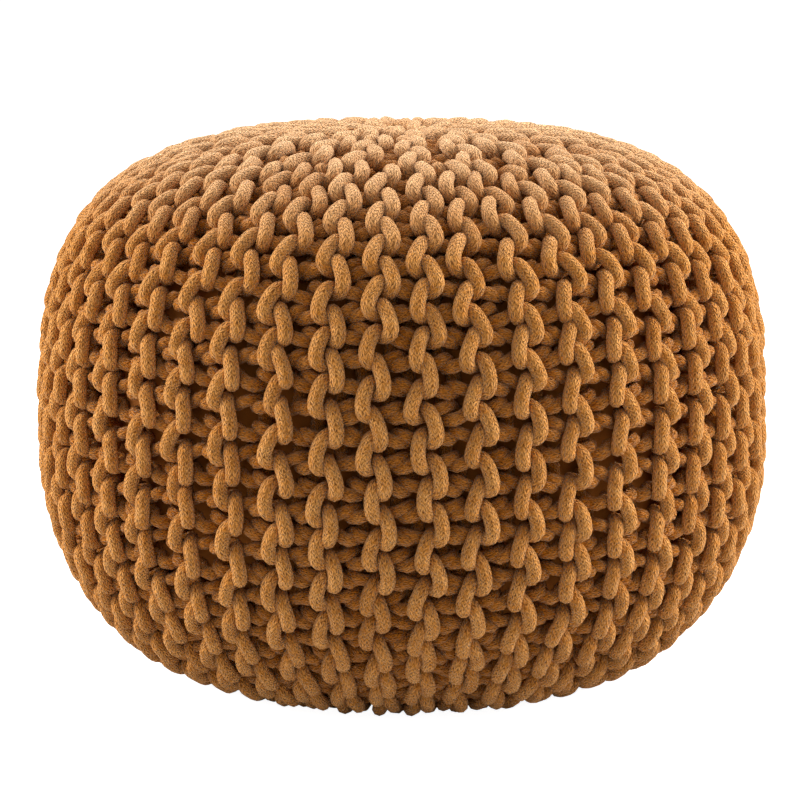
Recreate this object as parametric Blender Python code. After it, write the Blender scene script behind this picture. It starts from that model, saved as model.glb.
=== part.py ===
# Round pouf with a cover hand-knitted from thick cotton rope.
#
# The cover is knitted in garter stitch, sideways round the pouf, so its
# ridges run from the top centre down the side to the bottom centre. The
# filling swells it into a drum with a full round side, a broad crowned top
# drawn in at the centre, and a flat underside where it rests.
#
# Units are metres, +Z is up, and the origin is the middle of the underside.

import bpy
import bmesh
import math
import numpy as np

# Driving dimensions
OUTER_RADIUS = 0.250          # half the width over the ridges
HEIGHT = 0.365                # floor to the crown of the top
WAIST_HEIGHT = 0.144          # floor to the widest level
FLAT_RADIUS = 0.150           # underside that lies on the floor
CROWN_POWER = 3.25            # squareness of the shoulder, 2 is an ellipse
SKIRT_POWER = 1.87            # squareness of the rolled lower edge

# The gathered centre of the top
GATHER_DEPTH = 0.006
GATHER_RADIUS = 0.022

# The knitted ridges
RIDGE_COUNT = 48              # ridges at the widest level
RIDGE_DEPTH = 0.009           # crest to valley, one rope thick
RIDGE_START = 0.5             # ridge pitches from +X to the first crest
HALVING_RADII = (0.138, 0.070, 0.036)   # on the top, every second ridge ends at each
FULL_RELIEF_RADIUS = 0.060    # nearer the centre the ridges are lower
POLE_RADIUS = 0.014           # the last ring of the gathered centre
BASE_FADE = 0.022             # the ridges press flat over this distance

# How finely the solid is faceted
COLUMNS_PER_RIDGE = 4
SIDE_SPACING = 0.025          # between rings on the side
TOP_SPACING = 0.019           # between rings on the top
PROFILE_STEPS = 400
SLOPE_STEP = 1e-4             # how far along the profile its slope is read
SHARP_ANGLE = 60.0            # degrees, only the edge of the underside

ROPE_COLOUR = (0.35, 0.16, 0.06, 1.0)
ROPE_ROUGHNESS = 0.9


def clear_scene():
    """Remove every object of the open scene."""
    for scene_object in list(bpy.data.objects):
        bpy.data.objects.remove(scene_object, do_unlink=True)


def turned_profile():
    """Points (radius, height) from the top centre down to the flat underside."""
    turn = np.linspace(0.0, math.pi / 2, PROFILE_STEPS)
    crown_rise = HEIGHT - WAIST_HEIGHT
    crown_radius = OUTER_RADIUS * np.sin(turn) ** (2 / CROWN_POWER)
    crown_height = WAIST_HEIGHT + crown_rise * np.cos(turn) ** (2 / CROWN_POWER)
    crown_height -= GATHER_DEPTH * np.exp(-(crown_radius / GATHER_RADIUS) ** 2)
    roll_width = OUTER_RADIUS - FLAT_RADIUS
    skirt_radius = FLAT_RADIUS + roll_width * np.cos(turn) ** (2 / SKIRT_POWER)
    skirt_height = WAIST_HEIGHT * (1 - np.sin(turn) ** (2 / SKIRT_POWER))
    radius = np.concatenate([crown_radius, skirt_radius[1:]])
    height = np.concatenate([crown_height, skirt_height[1:]])
    return radius, height


def length_along(radius, height):
    """Distance along the profile at each of its points."""
    steps = np.hypot(np.diff(radius), np.diff(height))
    return np.concatenate([[0.0], np.cumsum(steps)])


def evenly_between(start, end, spacing):
    """Values from start to end, both kept, about one spacing apart."""
    count = max(1, round((end - start) / spacing))
    return np.linspace(start, end, count + 1)


def crown_distance(wanted_radius, radius, length):
    """Distance along the profile where the top reaches a radius."""
    widest = np.argmax(radius)
    return np.interp(wanted_radius, radius[:widest], length[:widest])


def ring_plan(radius, length):
    """List (distance along the profile, ridges on that ring), top to bottom."""
    outer_edge = crown_distance(HALVING_RADII[0], radius, length)
    plan = [(s, RIDGE_COUNT) for s in evenly_between(outer_edge, length[-1], SIDE_SPACING)]
    ridges = RIDGE_COUNT
    for inner_radius in HALVING_RADII[1:] + (POLE_RADIUS,):
        inner_edge = crown_distance(inner_radius, radius, length)
        ridges //= 2
        band = evenly_between(inner_edge, outer_edge, TOP_SPACING)[:-1]
        plan = [(s, ridges) for s in band] + plan
        outer_edge = inner_edge
    return plan


def ring_points(distance, ridges, profile):
    """Points of one ring, with its ridges standing out from the valleys."""
    radius, height, length = profile
    r, next_r = np.interp([distance, distance + SLOPE_STEP], length, radius)
    z, next_z = np.interp([distance, distance + SLOPE_STEP], length, height)
    if next_r == r and next_z == z:
        next_r = r - SLOPE_STEP
    size = math.hypot(next_r - r, next_z - z)
    inward_r, inward_z = (next_z - z) / size, (r - next_r) / size
    to_base = length[-1] - distance
    relief = RIDGE_DEPTH * min(1.0, to_base / BASE_FADE) * min(1.0, r / FULL_RELIEF_RADIUS)
    columns = ridges * COLUMNS_PER_RIDGE
    points = []
    start = 2 * math.pi * RIDGE_START / RIDGE_COUNT
    for column in range(columns):
        phase = 2 * math.pi * column / COLUMNS_PER_RIDGE
        sink = relief * (1 - math.cos(phase)) / 2
        angle = start + 2 * math.pi * column / columns
        ring_r = r + inward_r * sink
        points.append((ring_r * math.cos(angle), ring_r * math.sin(angle), z + inward_z * sink))
    return points


def bridge(mesh, upper, lower):
    """Join two rings, where the lower has as many points or twice as many."""
    count = len(upper)
    if len(lower) == count:
        for i in range(count):
            j = (i + 1) % count
            mesh.faces.new((upper[i], lower[i], lower[j], upper[j]))
        return
    for i in range(count):
        j = (i + 1) % count
        first, middle, last = lower[2 * i], lower[2 * i + 1], lower[(2 * i + 2) % len(lower)]
        mesh.faces.new((upper[i], first, middle))
        mesh.faces.new((upper[i], middle, upper[j]))
        mesh.faces.new((upper[j], middle, last))


def rope_material():
    """Matt caramel-brown cotton."""
    material = bpy.data.materials.new("cotton_rope")
    material.use_nodes = True
    shader = material.node_tree.nodes["Principled BSDF"]
    shader.inputs["Base Color"].default_value = ROPE_COLOUR
    shader.inputs["Roughness"].default_value = ROPE_ROUGHNESS
    shader.inputs["Metallic"].default_value = 0.0
    return material


def build_pouf():
    """One filled solid, ridged from the gathered top to the rolled lower edge."""
    radius, height = turned_profile()
    length = length_along(radius, height)
    profile = (radius, height, length)
    mesh = bmesh.new()
    rings = []
    for distance, ridges in ring_plan(radius, length):
        rings.append([mesh.verts.new(p) for p in ring_points(distance, ridges, profile)])
    for upper, lower in zip(rings[:-1], rings[1:]):
        bridge(mesh, upper, lower)
    centre = mesh.verts.new((0.0, 0.0, height[0]))
    first_ring = rings[0]
    for i, vertex in enumerate(first_ring):
        mesh.faces.new((centre, vertex, first_ring[(i + 1) % len(first_ring)]))
    mesh.faces.new(list(reversed(rings[-1])))
    mesh.normal_update()
    data = bpy.data.meshes.new("pouf")
    mesh.to_mesh(data)
    mesh.free()
    data.shade_smooth()
    data.set_sharp_from_angle(angle=math.radians(SHARP_ANGLE))
    pouf = bpy.data.objects.new("pouf", data)
    pouf.data.materials.append(rope_material())
    bpy.context.scene.collection.objects.link(pouf)
    return pouf


clear_scene()
build_pouf()
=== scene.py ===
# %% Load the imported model
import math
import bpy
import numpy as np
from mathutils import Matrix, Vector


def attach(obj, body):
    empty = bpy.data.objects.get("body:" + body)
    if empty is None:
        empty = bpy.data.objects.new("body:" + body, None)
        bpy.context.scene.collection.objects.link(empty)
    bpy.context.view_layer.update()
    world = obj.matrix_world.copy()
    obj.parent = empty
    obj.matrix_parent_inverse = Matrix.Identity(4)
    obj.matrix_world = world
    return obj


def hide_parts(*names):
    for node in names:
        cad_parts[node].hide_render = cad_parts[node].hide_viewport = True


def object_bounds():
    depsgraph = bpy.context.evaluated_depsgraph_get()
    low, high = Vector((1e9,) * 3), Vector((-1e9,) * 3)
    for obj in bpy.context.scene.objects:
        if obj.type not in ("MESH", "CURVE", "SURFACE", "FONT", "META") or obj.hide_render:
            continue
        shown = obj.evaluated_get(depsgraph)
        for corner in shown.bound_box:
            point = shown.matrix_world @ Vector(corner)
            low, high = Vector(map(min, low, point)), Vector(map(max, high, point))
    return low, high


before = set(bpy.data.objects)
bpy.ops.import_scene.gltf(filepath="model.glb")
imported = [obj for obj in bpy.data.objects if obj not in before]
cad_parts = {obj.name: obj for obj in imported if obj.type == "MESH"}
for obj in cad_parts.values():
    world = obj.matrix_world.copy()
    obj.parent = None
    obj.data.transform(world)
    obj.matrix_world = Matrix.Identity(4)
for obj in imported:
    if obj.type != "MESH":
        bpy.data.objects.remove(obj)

# %% [markdown]
# A round pouf with a knitted cover.
#
# The real pouf is a tightly filled round body inside a cover that is hand-knitted from cotton rope, here
# between 9 and 10 mm thick. The knitting is plain garter stitch, worked sideways round the body. Its rows
# run from the middle of the top, over the shoulder and down to the middle of the underside, and every two
# rows raise one ridge of rope arcs.
#
# A picture of stitches wrapped on a drum would look flat at the rim and wrong in the gaps. So this lesson
# knits the cover as real rope: each row is one long tube that follows the path which rope takes through
# garter stitch, and the light then finds the gaps, the overlaps and the shadows by itself.

bpy.ops.object.select_all(action="DESELECT")
cad_low, cad_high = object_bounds()
print("CAD box:", [round(v, 4) for v in cad_low], [round(v, 4) for v in cad_high])

# %% [markdown]
# The camera.
#
# In the photo the top shows only as a narrow band, so the camera stood just a little above the pouf, about
# 12.5 degrees. Here it stands six pouf radii from the middle of the widest level, and aims slightly above
# it, which leaves the same margin of white under the pouf as in the photo.

# %% Camera
RIDGES = 48                   # ridges round the widest level
HALF_RIDGE = math.pi / RIDGES
OUTER_RADIUS = cad_high[0] / math.cos(HALF_RIDGE)  # the crests stand half a ridge off the X axis
WAIST_HEIGHT = 0.144          # floor to the widest level
IMAGE_SIZE = 800              # pixels, width and height
SENSOR = 36.0                 # mm
CAMERA_ELEVATION = math.radians(12.5)
CAMERA_DISTANCE = 6.0 * OUTER_RADIUS
FOCAL_PIXELS = 2142.0         # lens length in image pixels
WAIST_PIXEL = (402.0, 440.4)  # where the middle of the widest level lands in the picture

camera_data = bpy.data.cameras.new("camera")
camera = bpy.data.objects.new("camera", camera_data)
bpy.context.scene.collection.objects.link(camera)
bpy.context.scene.camera = camera
camera_data.sensor_width = SENSOR
camera_data.lens = FOCAL_PIXELS * SENSOR / IMAGE_SIZE
camera.location = (0.0, -CAMERA_DISTANCE * math.cos(CAMERA_ELEVATION),
                   WAIST_HEIGHT + CAMERA_DISTANCE * math.sin(CAMERA_ELEVATION))
tilt_up = math.atan((WAIST_PIXEL[1] - IMAGE_SIZE / 2) / FOCAL_PIXELS)
turn_left = math.atan((WAIST_PIXEL[0] - IMAGE_SIZE / 2) / FOCAL_PIXELS)
camera.rotation_euler = (math.pi / 2 - CAMERA_ELEVATION + tilt_up, 0.0, turn_left)
print("lens %.1f mm, %.2f m away" % (camera_data.lens, CAMERA_DISTANCE))

# %% [markdown]
# The turned form.
#
# Knitting stretched over a filled body takes the body's shape, so every stitch is placed on one turned
# profile: a broad crown that dips where the rows are gathered, a squarish shoulder, a full side, a rolled
# lower edge and a flat underside. It is the same profile that the solid has. Distance along it is measured
# from the middle of the top.

# %% Profile
CROWN_HEIGHT = 0.365          # floor to the crown of the top
FLAT_RADIUS = 0.150           # underside that lies on the floor
CROWN_POWER = 3.25            # squareness of the shoulder, 2 is an ellipse
SKIRT_POWER = 1.87            # squareness of the rolled lower edge
GATHER_DEPTH = 0.006          # dip in the middle of the top
GATHER_RADIUS = 0.022
PROFILE_STEPS = 1200          # on the crown, as many on the lower edge, and a third under the pouf
NORMAL_REACH = 0.006          # the slope is read over this distance each way


def turned_profile():
    """Points (radius, height) from the middle of the top to the middle of the underside."""
    turn = np.linspace(0.0, math.pi / 2, PROFILE_STEPS)
    crown_r = OUTER_RADIUS * np.sin(turn) ** (2 / CROWN_POWER)
    crown_z = WAIST_HEIGHT + (CROWN_HEIGHT - WAIST_HEIGHT) * np.cos(turn) ** (2 / CROWN_POWER)
    crown_z -= GATHER_DEPTH * np.exp(-(crown_r / GATHER_RADIUS) ** 2)
    skirt_r = FLAT_RADIUS + (OUTER_RADIUS - FLAT_RADIUS) * np.cos(turn) ** (2 / SKIRT_POWER)
    skirt_z = WAIST_HEIGHT * (1 - np.sin(turn) ** (2 / SKIRT_POWER))
    base_r = np.linspace(FLAT_RADIUS, 0.0, PROFILE_STEPS // 3)
    radius = np.concatenate([crown_r, skirt_r[1:], base_r[1:]])
    height = np.concatenate([crown_z, skirt_z[1:], np.zeros(len(base_r) - 1)])
    length = np.concatenate([[0.0], np.cumsum(np.hypot(np.diff(radius), np.diff(height)))])
    return radius, height, length


PROFILE_R, PROFILE_Z, PROFILE_S = turned_profile()
FULL_LENGTH = PROFILE_S[-1]
WAIST_LENGTH = PROFILE_S[np.argmax(PROFILE_R)]


def on_profile(distance):
    """Radius, height and outward direction at a distance along the profile."""
    radius = np.interp(distance, PROFILE_S, PROFILE_R)
    height = np.interp(distance, PROFILE_S, PROFILE_Z)
    before = np.clip(distance - NORMAL_REACH, 0.0, FULL_LENGTH)
    after = np.clip(distance + NORMAL_REACH, 0.0, FULL_LENGTH)
    along_r = np.interp(after, PROFILE_S, PROFILE_R) - np.interp(before, PROFILE_S, PROFILE_R)
    along_z = np.interp(after, PROFILE_S, PROFILE_Z) - np.interp(before, PROFILE_S, PROFILE_Z)
    size = np.hypot(along_r, along_z)
    return radius, height, -along_z / size, along_r / size


print("top centre to underside centre: %.0f mm along the cover" % (FULL_LENGTH * 1000))

# %% [markdown]
# The path of the rope.
#
# In garter stitch a row is a string of loops. Seen flat, the rope swings from side to side once per stitch,
# and it swells back on itself at each turn, so the turns are wider than their necks. Through the thickness
# it comes up at one side, where it makes an arc on a front ridge, and goes down at the other, where it makes
# an arc on a back ridge. The next row is the mirror image, half a stitch along. The two rows hook into each
# other, because the necks of one pass under the arcs of the other.
#
# A few listed places say all this, from the middle of a front arc to the neck. The rest of the stitch
# is the same places turned about the neck. An arc isn't quite even: its upper end is tucked deep under the
# arc before it, and its lower end stands proud and rolls over. Cotton rope is soft, so it is thinner where
# it is squeezed through a loop.

# %% Stitch
ROPE_RADIUS = 0.0048
ROPE_PINCH = 0.17             # share by which the rope is squeezed at the necks
PINCH_LATE = 0.15             # radians, so that the tucked end is the thinner one
STITCH_TOP = 0.0322           # stitch length along a ridge at the top, where the knitting is looser
STITCH_WAIST = 0.0303         # at the widest level, where the filling spreads the rows
STITCH_BOTTOM = 0.0330        # and at the underside
ARC_OFFSET = 0.0049           # added to the swing, so that an arc reaches past the middle of its ridge
GATHERED_GAP = 0.004          # rows closer to their ridge than this are drawn in, with smaller swings
ARC_HEIGHT = 0.0088           # front arc above the necks, and back arc below them
PROUD = 0.0018                # how far the arcs stand out from the solid's crests
MID_DEPTH = ROPE_RADIUS + ARC_HEIGHT - PROUD
# Places as (share of a stitch along the ridge, share of the swing across, share of the arc height outward)
LOWER_END = ((0.000, 1.01, 0.97), (0.190, 0.98, 1.00), (0.305, 0.85, 0.77),
             (0.335, 0.63, 0.11), (0.305, 0.31, -0.22), (0.250, 0.00, 0.00))
UPPER_END = ((0.000, 1.01, 0.97), (0.190, 0.93, 0.87), (0.305, 0.79, 0.46),
             (0.330, 0.56, -0.13), (0.300, 0.28, -0.31), (0.250, 0.00, 0.00))


def stitch_knots():
    """One whole stitch as evenly numbered knots, from the middle of its front arc."""
    quarter = len(LOWER_END) - 1
    knots = []
    for number in range(-2 * quarter, 2 * quarter):
        places = LOWER_END if number >= 0 else UPPER_END
        sign = 1 if number >= 0 else -1
        step = abs(number)
        if step <= quarter:
            along, across, outward = places[step]
        else:
            along, across, outward = places[2 * quarter - step]
            along, across, outward = 0.5 - along, -across, -outward
        knots.append((sign * along - number / (4 * quarter), across, outward))
    return np.roll(np.array(knots), -2 * quarter, axis=0)


KNOTS = stitch_knots()
print("rope goes through", len(KNOTS), "knots a stitch")


def through_knots(turn):
    """Smooth curve through the knots at each turn, round and round."""
    place = turn * len(KNOTS) / (2 * math.pi)
    low = np.floor(place).astype(int)
    part = (place - low)[:, None]
    before, here, there, after = (KNOTS[(low + k) % len(KNOTS)] for k in (-1, 0, 1, 2))
    slope_here, slope_there = (there - before) / 2, (after - here) / 2
    rise = there - here
    bend = 3 * rise - 2 * slope_here - slope_there
    twist = slope_here + slope_there - 2 * rise
    return here + part * (slope_here + part * (bend + part * twist))


def stitch_path(turn, half_gap, stitch, lean):
    """Offsets of the rope within a stitch: along the ridge, towards its own front ridge, outward."""
    swing = half_gap + ARC_OFFSET * np.minimum(1.0, half_gap / GATHERED_GAP)
    along, across, outward = through_knots(turn).T
    across = across + lean * np.sin(turn) * across ** 2
    return stitch * along, swing * across, ARC_HEIGHT * outward


def rope_size(turn):
    """Share of the full thickness."""
    return 1.0 - ROPE_PINCH * np.sin(turn - PINCH_LATE) ** 4


# %% [markdown]
# The plan of the rows.
#
# The side needs 48 ridges, and the middle of the top has room for only a few. A knitter solves this with
# short rows: one row goes all the way to the middle, and others turn back before it. Here every second ridge
# ends on the crown, then every second one of the rest, and so on three times. Where a ridge ends, its
# neighbours open out and take its room. The underside is knitted the same way.

# %% Rows
PITCH_ANGLE = 2 * math.pi / RIDGES
FIRST_RIDGE = 0.5 * PITCH_ANGLE       # as on the solid, so that a valley faces the camera
HALVING_RADII = (0.138, 0.070, 0.036)  # on the top and underside, every second ridge ends at each
POLE_RADIUS = 0.005                   # the last six end here, in the gathered centre
BLEND = 0.012                         # each way, over which the neighbours open out
LEAST_BLEND = BLEND / 3               # added to it, so that the inner rings have enough
END_SCATTER = 0.006                   # the ends in one round aren't all level
RIDGE_CROWD = 0.015                   # radians by which the filling crowds and spreads the ridges
CROWD_WAVES = 4                       # times round the pouf


def smooth(value):
    """Ease from 0 to 1."""
    value = np.clip(value, 0.0, 1.0)
    return value * value * (3 - 2 * value)


def crown_distance(radius):
    """Distance along the profile where the top has this radius."""
    widest = np.argmax(PROFILE_R)
    return float(np.interp(radius, PROFILE_R[:widest], PROFILE_S[:widest]))


def base_distance(radius):
    """Distance along the profile where the underside has this radius."""
    return FULL_LENGTH - radius


def ridge_level(ridge):
    """How many halvings a ridge survives: 0 for every odd ridge, 3 for one in eight."""
    level = 0
    while level < len(HALVING_RADII) and ridge % 2 ** (level + 1) == 0:
        level += 1
    return level


def end_radius(ridge):
    """Radius on the top and on the underside at which a ridge ends."""
    level = ridge_level(ridge)
    if level == len(HALVING_RADII):
        return POLE_RADIUS
    side = 1 if ridge // 2 ** (level + 1) % 2 else -1
    return HALVING_RADII[level] + side * END_SCATTER * HALVING_RADII[level] / HALVING_RADII[0]


def row_half_angle(ridge, radius):
    """Half the angle between the two rows of a ridge."""
    half = PITCH_ANGLE / 4
    for level in range(ridge_level(ridge) + 1):
        if level == len(HALVING_RADII):
            break
        reach = BLEND * HALVING_RADII[level] / HALVING_RADII[0] + LEAST_BLEND
        opened = 1 - smooth((radius - HALVING_RADII[level] + reach) / (2 * reach))
        ends_here = level == ridge_level(ridge)
        half = half * (1 - 0.5 * opened if ends_here else 1 + opened)
    return half


def ridge_direction(ridge):
    """Angle of a ridge round the axis."""
    even = FIRST_RIDGE + ridge * PITCH_ANGLE
    return even - RIDGE_CROWD * math.sin(CROWD_WAVES * even)


print("ridges left inside each ring:", [RIDGES // 2 ** (n + 1) for n in range(len(HALVING_RADII))])

# %% [markdown]
# Hand-made unevenness.
#
# No two stitches by hand are alike. Slow waves over the whole cover push neighbouring stitches the same way,
# as the filling and the knitter's tension do, and a small random change at each arc makes every loop its
# own. The random numbers have a fixed seed, so the same pouf comes out each time.

# %% Unevenness
SEED = 7
WAVE_COUNT = 14
MOST_TURNS = 14               # how often a wave goes round the pouf at most, either way
WAVE_LENGTHS = (0.08, 0.30)   # metres, the shortest and the longest
WAVE_SHARES = (0.5, 1.0)      # the weakest and the strongest
WAVE_ALONG = 0.0020           # metres, along a ridge
WAVE_ACROSS = 0.0018          # metres, round the pouf
WAVE_OUT = 0.0010             # metres, of which only the inward part is used
ARC_CHANGE = 0.0013           # metres, at each arc, along its ridge
ACROSS_CHANGE = 0.6 * ARC_CHANGE
OUT_CHANGE = 0.7 * ARC_CHANGE
LEAN_CHANGE = 0.13            # share of the swing, at each arc
MOST_CHANGE = 2.0             # times the usual change, at any arc
random = np.random.default_rng(SEED)


def wave_table():
    """Waves as (turns round the pouf, length along the profile, phase, share)."""
    table = []
    for _ in range(WAVE_COUNT):
        turns = int(random.integers(-MOST_TURNS, MOST_TURNS + 1))
        length = random.uniform(*WAVE_LENGTHS)
        phase = random.uniform(0, 2 * math.pi)
        share = random.uniform(*WAVE_SHARES)
        table.append((turns, length, phase, share))
    return table


WAVES = {kind: wave_table() for kind in ("along", "across", "out")}
print("waves of each kind:", {kind: len(table) for kind, table in WAVES.items()})


def wave(kind, angle, distance):
    """Sum of slow waves, about -1 to 1."""
    total = np.zeros_like(distance)
    for turns, length, phase, share in WAVES[kind]:
        total += share * np.sin(turns * angle + 2 * math.pi * distance / length + phase)
    return total / math.sqrt(WAVE_COUNT / 2)


def arc_changes(turn):
    """A random value at every arc, joined smoothly."""
    first = math.floor(turn[0] / math.pi) - 1
    count = math.ceil(turn[-1] / math.pi) - first + 2
    values = np.clip(random.normal(0.0, 1.0, count), -MOST_CHANGE, MOST_CHANGE)
    place = turn / math.pi - first
    low = np.floor(place).astype(int)
    mix = smooth(place - low)
    return values[low] * (1 - mix) + values[low + 1] * mix


# %% [markdown]
# From the plan to points.
#
# A row is sampled finely on its front arcs, which show, and coarsely on its back arcs and under the pouf,
# which don't. Each sample takes its place on the profile, moves along, across and outward by the stitch
# path, and goes round the axis by its row's angle. At both ends a row sinks under its neighbours, as a
# turned row does. On the top the knitting is looser, so there the arcs are a little longer and flatter and
# lean more, and the rope is plumper.

# %% Points of a row
SAMPLES_PER_STITCH = 26
SAMPLES_BELOW = 16            # under the pouf
FRONT_CROWDING = 0.45         # share by which samples crowd on the front arcs
LOOSE_RATE = 2.2              # 1 / 2.2 of the way from the widest level to the top's middle, all is loose
LEAN_TOP = 0.50               # share of the swing, how far the arcs lean where the knitting is loose
LEAN_SIDE = 0.20              # and where it is pulled
LONGER_TOP = 0.08             # share by which loose arcs reach further along their ridge
FLATTER_TOP = 0.05            # share by which they lie flatter
END_SINK = 0.016              # how deep a row's end goes under its neighbours
POLE_SINK = 0.004             # and in the gathered centre
END_LENGTH = 0.010            # the distance over which it sinks
PLUMP_TOP = 0.99              # share of the rope's thickness where the knitting is loose
PLUMP_SIDE = 0.97             # and where it is pulled
FIRST_TURN = 1.0              # radians, where in a stitch the middle of the top falls
LEAST_MIDDLE = 0.004          # the middle of a row counts as at least this far from the axis
LEAST_RING = 0.001            # and no point of it comes nearer than this

known_places = (0.0, WAIST_LENGTH, FULL_LENGTH)
known_lengths = (STITCH_TOP, STITCH_WAIST, STITCH_BOTTOM)
stitch_length = np.interp(PROFILE_S, known_places, known_lengths)
STITCH_TURN = np.concatenate([[0.0], np.cumsum(2 * math.pi * np.diff(PROFILE_S) / stitch_length[1:])])
STITCH_TURN += FIRST_TURN
print("stitches from pole to pole: %.1f" % ((STITCH_TURN[-1] - STITCH_TURN[0]) / (2 * math.pi)))


def sample_turns(start, end, shift):
    """Turns from start to end, close together on the front arcs."""
    turns = [start]
    below = np.interp(FULL_LENGTH - FLAT_RADIUS, PROFILE_S, STITCH_TURN)
    while turns[-1] < end:
        per_stitch = SAMPLES_PER_STITCH if turns[-1] < below else SAMPLES_BELOW
        step = 2 * math.pi / per_stitch
        turns.append(turns[-1] + step * (1 - FRONT_CROWDING * math.cos(turns[-1] + shift)))
    turns[-1] = end
    return np.array(turns)


def row_points(ridge, side):
    """Points, radii and depths of one row, left of its ridge (side -1) or right of it (+1)."""
    top = crown_distance(end_radius(ridge))
    bottom = base_distance(end_radius(ridge))
    shift = 0.0 if side < 0 else math.pi
    start, end = np.interp([top, bottom], PROFILE_S, STITCH_TURN)
    turn = sample_turns(start, end, shift)
    base = np.interp(turn, STITCH_TURN, PROFILE_S)
    radius, _, out_r, _ = on_profile(base)
    middle_radius = np.maximum(radius - MID_DEPTH * out_r, LEAST_MIDDLE)
    half_angle = row_half_angle(ridge, radius)
    looseness = smooth((WAIST_LENGTH - base) / WAIST_LENGTH * LOOSE_RATE)
    lean = LEAN_SIDE + (LEAN_TOP - LEAN_SIDE) * looseness + LEAN_CHANGE * arc_changes(turn)
    stitch = np.interp(base, PROFILE_S, stitch_length)
    along, across, outward = stitch_path(turn + shift, half_angle * middle_radius, stitch, lean)
    along = along * (1 + LONGER_TOP * looseness)
    outward = outward * (1 - FLATTER_TOP * looseness)
    ridge_angle = ridge_direction(ridge)
    room = np.minimum(1.0, middle_radius / HALVING_RADII[0])
    along = along + WAVE_ALONG * wave("along", ridge_angle, base) + ARC_CHANGE * arc_changes(turn)
    push = WAVE_ACROSS * wave("across", ridge_angle, base) * room + ACROSS_CHANGE * arc_changes(turn)
    lift = WAVE_OUT * wave("out", ridge_angle, base) + OUT_CHANGE * arc_changes(turn)
    to_end = np.minimum(base - top, bottom - base)
    at_pole = ridge_level(ridge) == len(HALVING_RADII)
    sink = (POLE_SINK if at_pole else END_SINK) * (1 - smooth(to_end / END_LENGTH))
    distance = np.clip(base + along, 0.0, FULL_LENGTH)
    radius, height, out_r, out_z = on_profile(distance)
    depth = -MID_DEPTH + outward + np.minimum(lift, 0.0) - sink
    angle = ridge_angle + side * half_angle + (-side * across + push) / middle_radius
    ring = np.maximum(radius + depth * out_r, LEAST_RING)
    points = np.stack([ring * np.cos(angle), ring * np.sin(angle), height + depth * out_z], axis=1)
    radii = ROPE_RADIUS * rope_size(turn + shift) * (PLUMP_SIDE + (PLUMP_TOP - PLUMP_SIDE) * looseness)
    return points, radii, np.clip(-depth / (MID_DEPTH + ARC_HEIGHT), 0.0, 1.0)


# %% [markdown]
# From points to rope.
#
# A tube needs a ring of points round each sample. A bevelled curve would make one too, but its texture
# places run from 0 to 1 over a whole row, so the rope's fine pattern would stretch. Here the rings are made
# directly. Their directions are carried along the path without twisting, or the pattern would spin where the
# path turns, and every corner of a face gets its texture place: once round the rope, and the length along it
# in metres.

# %% Tube
SIDES = 9                     # flat sides round the rope
QUAD_CORNERS = 4
NEARLY_ZERO = 1e-6


def carried_frames(points):
    """Two directions square to the path at each point, carried along without twist."""
    tangent = np.gradient(points, axis=0)
    tangent /= np.linalg.norm(tangent, axis=1)[:, None]
    first = np.zeros_like(points)
    direction = np.cross(tangent[0], (0.0, 0.0, 1.0))
    if np.linalg.norm(direction) < NEARLY_ZERO:
        direction = np.array((1.0, 0.0, 0.0))
    for i, heading in enumerate(tangent):
        direction = direction - heading * np.dot(direction, heading)
        direction /= np.linalg.norm(direction)
        first[i] = direction
    return first, np.cross(tangent, first)


def tube(points, radii):
    """Vertices, quads and texture places of one rope along the points."""
    first, second = carried_frames(points)
    around = 2 * math.pi * np.arange(SIDES) / SIDES
    ring = np.cos(around)[None, :, None] * first[:, None] + np.sin(around)[None, :, None] * second[:, None]
    vertices = (points[:, None] + radii[:, None, None] * ring).reshape(-1, 3)
    count = len(points)
    i = np.repeat(np.arange(count - 1), SIDES)
    j = np.tile(np.arange(SIDES), count - 1)
    k = (j + 1) % SIDES
    quads = np.stack([i * SIDES + j, i * SIDES + k, (i + 1) * SIDES + k, (i + 1) * SIDES + j], axis=1)
    length = np.concatenate([[0.0], np.cumsum(np.linalg.norm(np.diff(points, axis=0), axis=1))])
    u = np.stack([j, j + 1, j + 1, j], axis=1) / SIDES
    v = np.stack([length[i], length[i], length[i + 1], length[i + 1]], axis=1)
    return vertices, quads, np.stack([u, v], axis=2)


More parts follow.
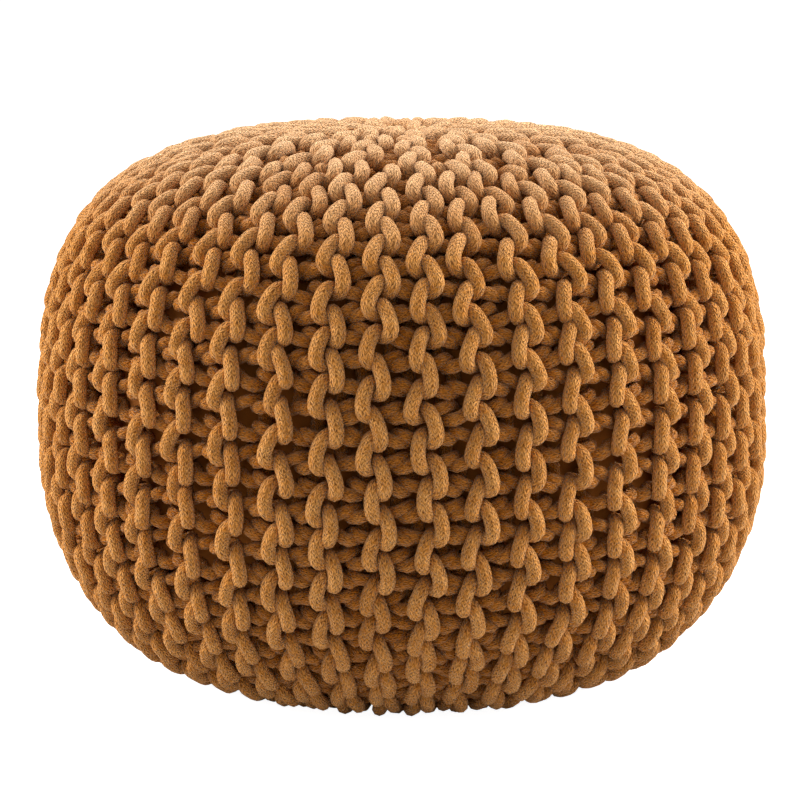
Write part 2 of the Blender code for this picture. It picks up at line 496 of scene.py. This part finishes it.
def rope_mesh(name, rows):
    """One mesh of many ropes, each closed at both ends, with the depth of every point."""
    vertices = []
    depths = []
    loops = []
    starts = []
    sizes = []
    places = []
    offset = 0
    corner = 0
    for points, radii, depth in rows:
        v, quads, uv = tube(points, radii)
        vertices.append(v)
        depths.append(np.repeat(depth, SIDES))
        loops.append((quads + offset).reshape(-1))
        starts.append(corner + QUAD_CORNERS * np.arange(len(quads)))
        sizes.append(np.full(len(quads), QUAD_CORNERS))
        places.append(uv.reshape(-1, 2))
        corner += QUAD_CORNERS * len(quads)
        caps = (np.arange(SIDES)[::-1], len(v) - SIDES + np.arange(SIDES))
        for cap in caps:
            loops.append(cap + offset)
            starts.append(np.array([corner]))
            sizes.append(np.array([SIDES]))
            places.append(np.tile(uv[0, 0], (SIDES, 1)))
            corner += SIDES
        offset += len(v)
    data = bpy.data.meshes.new(name)
    vertices = np.concatenate(vertices)
    vertices[:, 2] = np.maximum(vertices[:, 2], 0.0)
    loops = np.concatenate(loops)
    starts = np.concatenate(starts)
    sizes = np.concatenate(sizes)
    data.vertices.add(len(vertices))
    data.vertices.foreach_set("co", vertices.astype(np.float32).reshape(-1))
    data.loops.add(len(loops))
    data.loops.foreach_set("vertex_index", loops.astype(np.int32))
    data.polygons.add(len(starts))
    data.polygons.foreach_set("loop_start", starts.astype(np.int32))
    data.polygons.foreach_set("loop_total", sizes.astype(np.int32))
    data.update(calc_edges=True)
    layer = data.uv_layers.new(name="rope")
    layer.data.foreach_set("uv", np.concatenate(places).astype(np.float32).reshape(-1))
    shade = data.attributes.new(name="depth", type="FLOAT", domain="POINT")
    shade.data.foreach_set("value", np.concatenate(depths).astype(np.float32))
    data.validate()
    data.shade_smooth()
    piece = bpy.data.objects.new(name, data)
    bpy.context.scene.collection.objects.link(piece)
    return piece


print("points in a ring of rope:", SIDES)

# %% [markdown]
# Knitting the cover.
#
# The rows are joined into a few pieces, each a slice of the cover eight ridges wide, because one mesh of
# every stitch would be too heavy to keep as a single piece. The slices meet between two ridges, where the
# rope of one hooks into the next.

# %% Cover
SLICES = 6
slice_edges = np.linspace(0, RIDGES, SLICES + 1).round().astype(int)
cover = []
total = 0
for number in range(SLICES):
    rows = []
    for ridge in range(slice_edges[number], slice_edges[number + 1]):
        rows.append(row_points(ridge, -1))
        rows.append(row_points(ridge, 1))
    cover.append(rope_mesh("knit_%d" % (number + 1), rows))
    triangles = sum(len(p.vertices) - 2 for p in cover[-1].data.polygons)
    total += triangles
    print(cover[-1].name, "rows", len(rows), "triangles", triangles)
print("cover triangles:", total)

# %% [markdown]
# The filled body.
#
# Between the ropes the eye meets the tight inner body, in cloth of the same colour. It is drawn as half of
# its outline, one point extruded down the profile, and spun round the axis. Then it is filled the way a real
# one is: the form is remeshed evenly, given Blender's cloth with pressure inside, and left to swell. The
# cover would stop it, so no point may move further than the cover lets it.

# %% Body
BODY_DEPTH = 0.0265           # how far inside the profile the slack body starts
BODY_SWELL = 0.0035           # how far the cover lets it swell
BODY_POINTS = 26              # down the outline
BODY_COLUMNS = 72             # round the axis
BODY_VOXEL = 0.010
BODY_PRESSURE = 4.0
CLOTH_QUALITY = 4             # steps of the cloth in a frame
SWELL_FRAMES = 20
START_PLANE = 0.01            # plane that is merged into the outline's first point
MERGE_DISTANCE = 0.0001       # joins the two ends of the spin, and the points at each pole
LEAST_MOVE = 1e-9             # keeps a point that didn't move from being divided by nothing


def body_outline():
    """Half outline of the slack body in the XZ plane, from the top centre to the underside centre."""
    distance = np.linspace(0.0, FULL_LENGTH, BODY_POINTS)
    radius, height, out_r, out_z = on_profile(distance)
    radius = np.maximum(radius - BODY_DEPTH * out_r, 0.0)
    height = height - BODY_DEPTH * out_z
    radius[0] = radius[-1] = 0.0
    return list(zip(radius, height))


def spun_body():
    """Closed turned form: a point is extruded down the outline and spun."""
    outline = body_outline()
    bpy.ops.mesh.primitive_plane_add(size=START_PLANE, location=(0.0, 0.0, 0.0))
    body = bpy.context.object
    body.name = "body"
    bpy.ops.object.mode_set(mode="EDIT")
    bpy.ops.mesh.select_all(action="SELECT")
    bpy.ops.mesh.merge(type="CENTER")
    bpy.ops.transform.translate(value=(outline[0][0], 0.0, outline[0][1]))
    for here, there in zip(outline[:-1], outline[1:]):
        step = (there[0] - here[0], 0.0, there[1] - here[1])
        bpy.ops.mesh.extrude_vertices_move(TRANSFORM_OT_translate={"value": step})
    bpy.ops.mesh.select_all(action="SELECT")
    bpy.ops.mesh.spin(steps=BODY_COLUMNS, angle=2 * math.pi, center=(0.0, 0.0, 0.0), axis=(0.0, 0.0, 1.0))
    bpy.ops.mesh.select_all(action="SELECT")
    bpy.ops.mesh.remove_doubles(threshold=MERGE_DISTANCE)
    bpy.ops.mesh.normals_make_consistent(inside=False)
    bpy.ops.object.mode_set(mode="OBJECT")
    return body


def swell(body):
    """Fill the body by cloth pressure, with a cap on how far each point may move."""
    remesh = body.modifiers.new("even", "REMESH")
    remesh.mode = "VOXEL"
    remesh.voxel_size = BODY_VOXEL
    bpy.ops.object.modifier_apply(modifier=remesh.name)
    start = np.array([v.co for v in body.data.vertices])
    cloth = body.modifiers.new("filling", "CLOTH")
    cloth.settings.quality = CLOTH_QUALITY
    cloth.settings.use_pressure = True
    cloth.settings.uniform_pressure_force = BODY_PRESSURE
    cloth.settings.effector_weights.gravity = 0.0
    cloth.point_cache.frame_end = SWELL_FRAMES
    for number in range(1, SWELL_FRAMES + 1):
        bpy.context.scene.frame_set(number)
    bpy.ops.object.modifier_apply(modifier=cloth.name)
    end = np.array([v.co for v in body.data.vertices])
    move = end - start
    size = np.linalg.norm(move, axis=1)
    kept = np.minimum(size, BODY_SWELL) / np.maximum(size, LEAST_MOVE)
    capped = start + move * kept[:, None]
    body.data.vertices.foreach_set("co", capped.astype(np.float32).reshape(-1))
    body.data.update()
    bpy.context.scene.frame_set(1)
    print("body swelled %.1f mm on average before the cap" % (size.mean() * 1000))


body = spun_body()
swell(body)
smoother = body.modifiers.new("smoother", "SUBSURF")
smoother.levels = smoother.render_levels = 1
bpy.ops.object.modifier_apply(modifier=smoother.name)
bpy.ops.object.shade_smooth()
bpy.ops.object.select_all(action="DESELECT")
print("body faces:", len(body.data.polygons))

# %% [markdown]
# Cotton rope.
#
# The rope is a fine knitted sleeve of matt cotton yarn. Close up it has small chevrons, pinholes between the
# yarns with painted shade in them, a painted highlight on the tops of the yarns, and a soft bloom. The
# pattern follows the rope through its own texture places, so it turns with every loop. Painted shade darkens
# the rope in the furrows, as far as each point's own depth tells, and a painted highlight pales the top.

# %% Rope material
WALES = 9.0                   # columns of small chevrons round the rope
CHEVRON_LENGTH = 0.0027       # metres
CHEVRON_SLANT = 1.6           # chevron lengths that a yarn climbs for each width of a column
YARN_ROUNDNESS = 2.0
GROOVE_SHARPNESS = 3.0
SPINE_SHARE = 0.6             # groove down the middle of a column, against the one between two columns
GROOVE_DEPTH = 0.7            # against the height of a yarn
HOLE_SHARPNESS = 1.5


def add(nodes, kind, **settings):
    """New node with its settings."""
    node = nodes.new(kind)
    for name, value in settings.items():
        setattr(node, name, value)
    return node


def math_node(tree, operation, *values):
    """Math node fed with sockets or numbers; returns its output."""
    node = add(tree.nodes, "ShaderNodeMath", operation=operation)
    for i, value in enumerate(values):
        if isinstance(value, (int, float)):
            node.inputs[i].default_value = value
        else:
            tree.links.new(value, node.inputs[i])
    return node.outputs[0]


def sleeve_group():
    """Group: texture places to the height and the pinholes of a fine knitted sleeve."""
    group = bpy.data.node_groups.new("knitted_sleeve", "ShaderNodeTree")
    group.interface.new_socket("Places", in_out="INPUT", socket_type="NodeSocketVector")
    group.interface.new_socket("Wales", in_out="INPUT", socket_type="NodeSocketFloat")
    group.interface.new_socket("Chevron", in_out="INPUT", socket_type="NodeSocketFloat")
    group.interface.new_socket("Height", in_out="OUTPUT", socket_type="NodeSocketFloat")
    group.interface.new_socket("Pinholes", in_out="OUTPUT", socket_type="NodeSocketFloat")
    entry = group.nodes.new("NodeGroupInput")
    leave = group.nodes.new("NodeGroupOutput")
    parts = add(group.nodes, "ShaderNodeSeparateXYZ")
    group.links.new(entry.outputs["Places"], parts.inputs[0])
    round_it = math_node(group, "MULTIPLY", parts.outputs[0], entry.outputs["Wales"])
    wale = math_node(group, "FRACT", round_it)
    from_middle = math_node(group, "ABSOLUTE", math_node(group, "SUBTRACT", wale, 0.5))
    along = math_node(group, "DIVIDE", parts.outputs[1], entry.outputs["Chevron"])
    slanted = math_node(group, "ADD", along, math_node(group, "MULTIPLY", from_middle, CHEVRON_SLANT))
    stripe = math_node(group, "SUBTRACT", math_node(group, "FRACT", slanted), 0.5)
    stripe = math_node(group, "MULTIPLY", math_node(group, "ABSOLUTE", stripe), 2.0)
    yarn = math_node(group, "SUBTRACT", 1.0, math_node(group, "POWER", stripe, YARN_ROUNDNESS))
    to_edge = math_node(group, "MULTIPLY", from_middle, 2.0)
    edge = math_node(group, "POWER", to_edge, GROOVE_SHARPNESS)
    centre = math_node(group, "POWER", math_node(group, "SUBTRACT", 1.0, to_edge), GROOVE_SHARPNESS)
    valley = math_node(group, "MAXIMUM", edge, math_node(group, "MULTIPLY", centre, SPINE_SHARE))
    height = math_node(group, "SUBTRACT", yarn, math_node(group, "MULTIPLY", valley, GROOVE_DEPTH))
    holes = math_node(group, "MULTIPLY", math_node(group, "POWER", stripe, HOLE_SHARPNESS), valley)
    group.links.new(height, leave.inputs["Height"])
    group.links.new(holes, leave.inputs["Pinholes"])
    return group


def mixed(tree, factor, first, second):
    """Colour mix; the colours are sockets or values."""
    node = add(tree.nodes, "ShaderNodeMix", data_type="RGBA")
    for value, socket in ((factor, node.inputs[0]), (first, node.inputs[6]), (second, node.inputs[7])):
        if hasattr(value, "is_output"):
            tree.links.new(value, socket)
        else:
            socket.default_value = value
    return node.outputs[2]


def ramp(tree, value, low, high):
    """Value between low and high, stretched to 0..1."""
    node = add(tree.nodes, "ShaderNodeMapRange")
    tree.links.new(value, node.inputs[0])
    node.inputs[1].default_value = low
    node.inputs[2].default_value = high
    return node.outputs[0]


def noise(tree, vector, scale, detail):
    """Noise value."""
    node = add(tree.nodes, "ShaderNodeTexNoise")
    tree.links.new(vector, node.inputs["Vector"])
    node.inputs["Scale"].default_value = scale
    node.inputs["Detail"].default_value = detail
    return node.outputs["Fac"]


ROPE_YARN_HIGHLIGHT = (0.890, 0.530, 0.245, 1.0)     # painted highlight on the tops of the yarns
ROPE_LIGHT = (0.810, 0.368, 0.093, 1.0)
ROPE_MIDDLE = (0.620, 0.232, 0.033, 1.0)
ROPE_FURROW_SHADE = (0.430, 0.130, 0.007, 1.0)    # painted shade deep in the furrows
ROPE_TOP_HIGHLIGHT = (0.860, 0.620, 0.380, 1.0)    # painted highlight on the top
ROPE_FLECKS_AND_PINHOLE_SHADE = (0.190, 0.050, 0.003, 1.0)     # dark flecks of the yarn, and painted shade in the pinholes between the yarns
TOP_HIGHLIGHT_FROM = 0.30                           # metres above the floor
TOP_HIGHLIGHT_TO = 0.36
TOP_HIGHLIGHT_SHARE = 0.55                          # of the painted highlight colour, from that height up
WOBBLE_SCALE = 350.0                       # noise that bends the sleeve's pattern
WOBBLE = (0.075, 0.0024, 0.0)              # turns round the rope, metres along it
PATCH_SCALE = 170.0                        # soft patches of lighter and darker dye
PATCH_RANGE = (0.34, 0.66)
FLECK_SCALE = 1100.0                       # small dark flecks
FLECK_RANGE = (0.50, 0.72)
FLECK_SHARE = 0.38
PINHOLE_SHADE_SCALE = 340.0                         # patches where the painted shade in the pinholes shows
PINHOLE_SHADE_RANGE = (0.44, 0.62)
HOLE_RANGE = (0.05, 0.40)
YARN_HIGHLIGHT_RANGE = (0.3, 4.0)                    # a yarn is 1 high at most, so the painted highlight on its top is only slight
FURROW_SHADE_RANGE = (0.10, 0.60)                 # of a point's depth, over which the painted furrow shade comes in
STROKE_SHARE = 0.85                        # of the dark colour, for the flecks and the painted shade between the yarns
STROKE_UNDER_HIGHLIGHT = 0.75                         # taken off it under the painted highlight on the top
LUMP_SCALE = 380.0                         # small lumps in the rope's surface
LUMP_HEIGHT = 1.8                          # against the height of a yarn


def rope_material(sleeve):
    """Matt caramel cotton rope."""
    material = bpy.data.materials.new("cotton_rope_knit")
    material.use_nodes = True
    tree = material.node_tree
    shader = tree.nodes["Principled BSDF"]
    places = add(tree.nodes, "ShaderNodeUVMap", uv_map="rope").outputs[0]
    where = add(tree.nodes, "ShaderNodeTexCoord").outputs["Object"]
    group = add(tree.nodes, "ShaderNodeGroup", node_tree=sleeve)
    wobble = add(tree.nodes, "ShaderNodeVectorMath", operation="MULTIPLY_ADD")
    fine = add(tree.nodes, "ShaderNodeTexNoise")
    fine.inputs["Scale"].default_value = WOBBLE_SCALE
    tree.links.new(where, fine.inputs["Vector"])
    tree.links.new(fine.outputs["Color"], wobble.inputs[0])
    wobble.inputs[1].default_value = WOBBLE
    tree.links.new(places, wobble.inputs[2])
    tree.links.new(wobble.outputs[0], group.inputs["Places"])
    group.inputs["Wales"].default_value = WALES
    group.inputs["Chevron"].default_value = CHEVRON_LENGTH
    patches = ramp(tree, noise(tree, where, PATCH_SCALE, detail=4.0), *PATCH_RANGE)
    flecks = ramp(tree, noise(tree, where, FLECK_SCALE, detail=2.0), *FLECK_RANGE)
    colour = mixed(tree, patches, ROPE_MIDDLE, ROPE_LIGHT)
    # Painted highlight: the tops of the sleeve's yarns are mixed towards a paler colour.
    colour = mixed(tree, ramp(tree, group.outputs["Height"], *YARN_HIGHLIGHT_RANGE), colour, ROPE_YARN_HIGHLIGHT)
    # Painted highlight on the top: above a set height the rope is mixed towards a pale colour.
    level = add(tree.nodes, "ShaderNodeSeparateXYZ")
    tree.links.new(where, level.inputs[0])
    top_highlight = math_node(tree, "MULTIPLY", ramp(tree, level.outputs[2], TOP_HIGHLIGHT_FROM, TOP_HIGHLIGHT_TO), TOP_HIGHLIGHT_SHARE)
    colour = mixed(tree, top_highlight, colour, ROPE_TOP_HIGHLIGHT)
    # Painted shade: the deeper a point lies in the furrows, the more it takes the darker furrow colour.
    depth = add(tree.nodes, "ShaderNodeAttribute", attribute_name="depth").outputs["Fac"]
    colour = mixed(tree, ramp(tree, depth, *FURROW_SHADE_RANGE), colour, ROPE_FURROW_SHADE)
    strokes = math_node(tree, "SUBTRACT", STROKE_SHARE, math_node(tree, "MULTIPLY", top_highlight, STROKE_UNDER_HIGHLIGHT))
    flecks = math_node(tree, "MULTIPLY", flecks, math_node(tree, "MULTIPLY", strokes, FLECK_SHARE))
    colour = mixed(tree, flecks, colour, ROPE_FLECKS_AND_PINHOLE_SHADE)
    # Painted shade in the pinholes between the yarns, in noise patches; the flecks above are the yarn's own
    # dark tone.
    pinhole_shade_patches = ramp(tree, noise(tree, where, PINHOLE_SHADE_SCALE, detail=2.0), *PINHOLE_SHADE_RANGE)
    holes = math_node(tree, "MULTIPLY", ramp(tree, group.outputs["Pinholes"], *HOLE_RANGE), pinhole_shade_patches)
    colour = mixed(tree, math_node(tree, "MULTIPLY", holes, strokes), colour, ROPE_FLECKS_AND_PINHOLE_SHADE)
    tree.links.new(colour, shader.inputs["Base Color"])
    shader.inputs["Roughness"].default_value = 0.92
    shader.inputs["Specular IOR Level"].default_value = 0.08
    shader.inputs["Sheen Weight"].default_value = 0.28
    shader.inputs["Sheen Roughness"].default_value = 0.30
    shader.inputs["Sheen Tint"].default_value = (1.0, 0.85, 0.66, 1.0)
    lumps = math_node(tree, "MULTIPLY", noise(tree, where, LUMP_SCALE, detail=3.0), LUMP_HEIGHT)
    bump = add(tree.nodes, "ShaderNodeBump")
    bump.inputs["Strength"].default_value = 1.0
    bump.inputs["Distance"].default_value = 0.0012
    tree.links.new(math_node(tree, "ADD", group.outputs["Height"], lumps), bump.inputs["Height"])
    tree.links.new(bump.outputs[0], shader.inputs["Normal"])
    return material


sleeve = sleeve_group()
rope = rope_material(sleeve)
for piece in cover:
    piece.data.materials.append(rope)
print(rope.name, "has", len(rope.node_tree.nodes), "nodes")

# %% [markdown]
# The body's cloth.
#
# A plain tight weave in the rope's colour, darkened as painted shade because it lies under the cover, and a
# little darker still at its darkest.

# %% Cloth material
WEAVE_SCALE = 1200.0
# Both colours are the rope's colour darkened as painted shade for the cloth under the cover.
CLOTH_DARK = (0.33, 0.095, 0.006, 1.0)
CLOTH_LIGHT = (0.48, 0.145, 0.010, 1.0)


def cloth_material():
    """Plain woven cotton."""
    material = bpy.data.materials.new("body_cloth")
    material.use_nodes = True
    tree = material.node_tree
    shader = tree.nodes["Principled BSDF"]
    where = add(tree.nodes, "ShaderNodeTexCoord").outputs["Object"]
    weave = noise(tree, where, WEAVE_SCALE, detail=2.0)
    colour = mixed(tree, weave, CLOTH_DARK, CLOTH_LIGHT)
    tree.links.new(colour, shader.inputs["Base Color"])
    shader.inputs["Roughness"].default_value = 0.95
    bump = add(tree.nodes, "ShaderNodeBump")
    bump.inputs["Strength"].default_value = 0.4
    bump.inputs["Distance"].default_value = 0.0003
    tree.links.new(weave, bump.inputs["Height"])
    tree.links.new(bump.outputs[0], shader.inputs["Normal"])
    return material


cloth = cloth_material()
body.data.materials.append(cloth)
print(cloth.name, "has", len(cloth.node_tree.nodes), "nodes")

# %% [markdown]
# Studio.
#
# The photo is a cut-out on white. The pouf is lit from above and behind, and from both sides, which gives the
# bright top and rims, and the front gets mostly what the white room throws back. To the camera, the
# background and the floor are brighter than the light that they give the pouf, so they come out pure white.

# %% Floor and light
FLOOR_SIZE = 40.0             # metres
FLOOR_COLOUR = (0.58, 0.58, 0.58, 1.0)
WHITE = (1.0, 1.0, 1.0, 1.0)
ROOM_LIGHT = 0.67             # what the white room gives the pouf
ROOM_SEEN = 1.1               # what the camera sees of it
FLOOR_GLOW = 0.95             # extra brightness of the floor to the camera
LIGHT_AIM = (0.0, 0.0, 0.2)   # the point that every soft box faces
# Soft boxes as (name, place, size in metres, power in watts)
LIGHTS = (("top_box", (0.0, 0.8, 1.5), 1.2, 25.0),
          ("left_box", (-1.6, 0.0, 0.9), 0.8, 43.0),
          ("right_box", (1.6, 0.0, 0.9), 0.8, 47.0))


def seen_by_camera(tree, lit, seen):
    """One value for light and another for the camera's own view."""
    path = add(tree.nodes, "ShaderNodeLightPath").outputs["Is Camera Ray"]
    node = add(tree.nodes, "ShaderNodeMapRange")
    tree.links.new(path, node.inputs[0])
    node.inputs[3].default_value = lit
    node.inputs[4].default_value = seen
    return node.outputs[0]


bpy.ops.mesh.primitive_plane_add(size=FLOOR_SIZE, location=(0.0, 0.0, 0.0))
floor = bpy.context.object
floor.name = "floor"
floor_material = bpy.data.materials.new("pale_floor")
floor_material.use_nodes = True
floor_shader = floor_material.node_tree.nodes["Principled BSDF"]
floor_shader.inputs["Base Color"].default_value = FLOOR_COLOUR
floor_shader.inputs["Roughness"].default_value = 0.9
floor_shader.inputs["Specular IOR Level"].default_value = 0.0
floor_shader.inputs["Emission Color"].default_value = WHITE
glow = seen_by_camera(floor_material.node_tree, 0.0, FLOOR_GLOW)
floor_material.node_tree.links.new(glow, floor_shader.inputs["Emission Strength"])
floor.data.materials.append(floor_material)

world = bpy.data.worlds.new("white_room")
bpy.context.scene.world = world
world.use_nodes = True
background = world.node_tree.nodes["Background"]
background.inputs["Color"].default_value = WHITE
room_strength = seen_by_camera(world.node_tree, ROOM_LIGHT, ROOM_SEEN)
world.node_tree.links.new(room_strength, background.inputs["Strength"])
bpy.context.scene.view_settings.view_transform = "Standard"


def soft_light(name, place, size, power):
    """Square soft box that faces the pouf."""
    data = bpy.data.lights.new(name, "AREA")
    data.shape = "SQUARE"
    data.size = size
    data.energy = power
    light = bpy.data.objects.new(name, data)
    bpy.context.scene.collection.objects.link(light)
    light.location = place
    away = np.array(place) - np.array(LIGHT_AIM)
    flat = math.hypot(away[0], away[1])
    light.rotation_euler = (math.atan2(flat, away[2]), 0.0, math.atan2(away[0], -away[1]))
    print(name, "at", place, "gives", power, "W")


for name, place, size, power in LIGHTS:
    soft_light(name, place, size, power)

# %% [markdown]
# Handing over.
#
# Every piece rides on the one body of the model. The cover and the filled body together stand for the solid.

# %% Finish
for piece in cover + [body]:
    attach(piece, "root")
    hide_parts("pouf")
